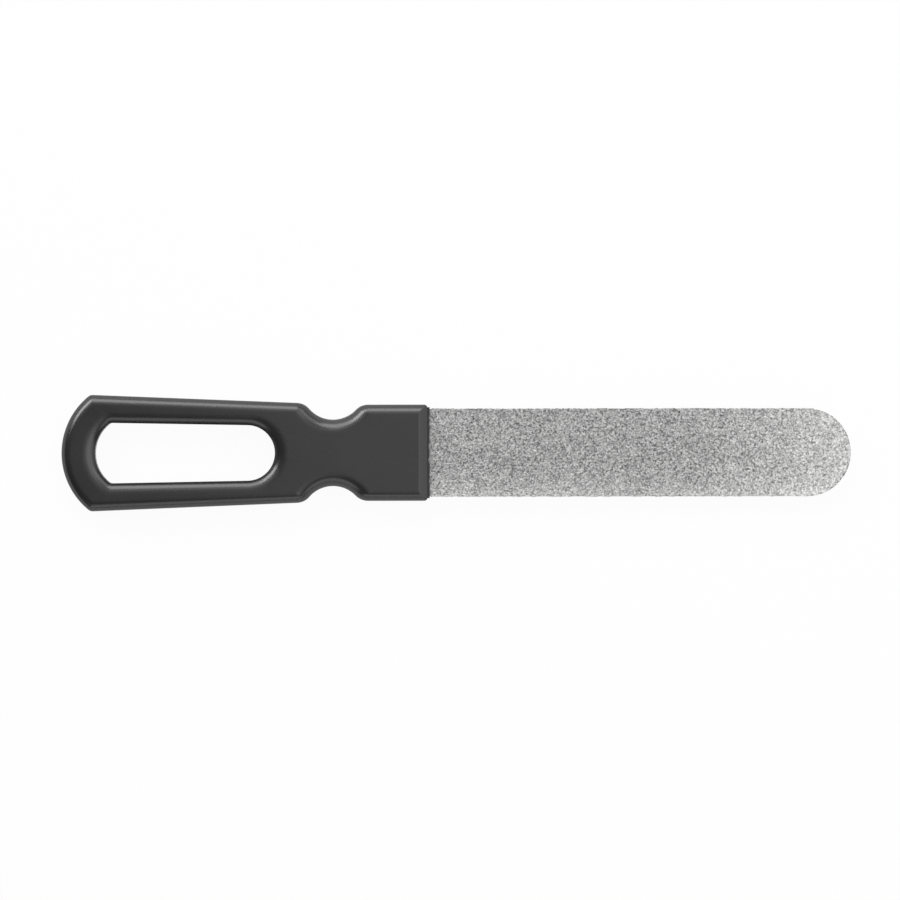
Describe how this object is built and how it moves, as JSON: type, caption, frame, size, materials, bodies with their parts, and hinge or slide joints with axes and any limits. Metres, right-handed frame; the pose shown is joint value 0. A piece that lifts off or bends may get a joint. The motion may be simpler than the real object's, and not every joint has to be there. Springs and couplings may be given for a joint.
{
  "type": "nail file",
  "caption": "Metal nail file with a flat, round-tipped blade, grit on both faces, and a plastic loop handle with finger notches.",
  "frame": {"origin": "middle of the overall length and width, on the plane that the handle lies on", "axes": "+X along the blade towards its tip, +Z square to the faces of the blade"},
  "size_m": [0.178, 0.0262, 0.006],
  "materials": {
    "blade_steel": "stamped stainless strip, satin",
    "grit_coat": "grains bonded in nickel, rough and matt",
    "handle_plastic": "black moulded plastic, soft satin"
  },
  "bodies": {
    "root": {"steel_blade": "blade_steel", "upper_grit_coat": "grit_coat", "lower_grit_coat": "grit_coat", "handle": "handle_plastic"}
  },
  "joints": []
}
